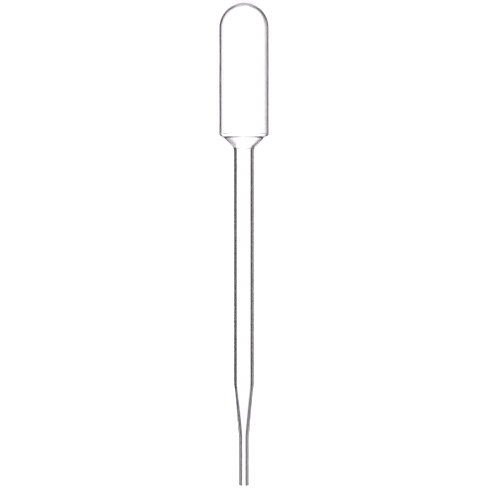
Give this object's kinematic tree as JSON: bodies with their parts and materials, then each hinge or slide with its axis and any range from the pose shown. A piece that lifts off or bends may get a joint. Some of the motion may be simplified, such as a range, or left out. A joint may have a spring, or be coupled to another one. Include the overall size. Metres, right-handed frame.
{
  "type": "squeeze-bulb transfer pipette",
  "caption": "Clear transfer pipette with a squeeze bulb on a straight hollow stem, drawn down through a taper to a fine open tip.",
  "frame": {"origin": "on the axis at the top of the stem, where the neck starts and a rack's hole carries the pipette", "axes": "+Z along the axis towards the crown of the bulb, the tip points down; -Y faces the thumb, +Y the finger"},
  "size_m": [0.0159, 0.016, 0.155],
  "materials": {
    "clear_plastic": "clear, colourless, smooth as moulded"
  },
  "bodies": {
    "moulding": {"tip": "clear_plastic", "taper": "clear_plastic", "stem": "clear_plastic", "shoulder": "clear_plastic", "left_fold_wall": "clear_plastic", "right_fold_wall": "clear_plastic", "bulb_dome": "clear_plastic"},
    "thumb_wall": {"thumb_wall": "clear_plastic"},
    "finger_wall": {"finger_wall": "clear_plastic"}
  },
  "joints": [
    {"name": "thumb_press", "type": "slide", "parent": "moulding", "child": "thumb_wall", "axis": [0, 1, 0], "range_m": [0, 0.006], "stiffness_N_per_m": 900},
    {"name": "finger_press", "type": "slide", "parent": "moulding", "child": "finger_wall", "axis": [0, -1, 0], "range_m": [0, 0.006], "stiffness_N_per_m": 900}
  ],
  "couplings": [
    {"joint": "finger_press", "follows": "thumb_press", "ratio": 1}
  ]
}
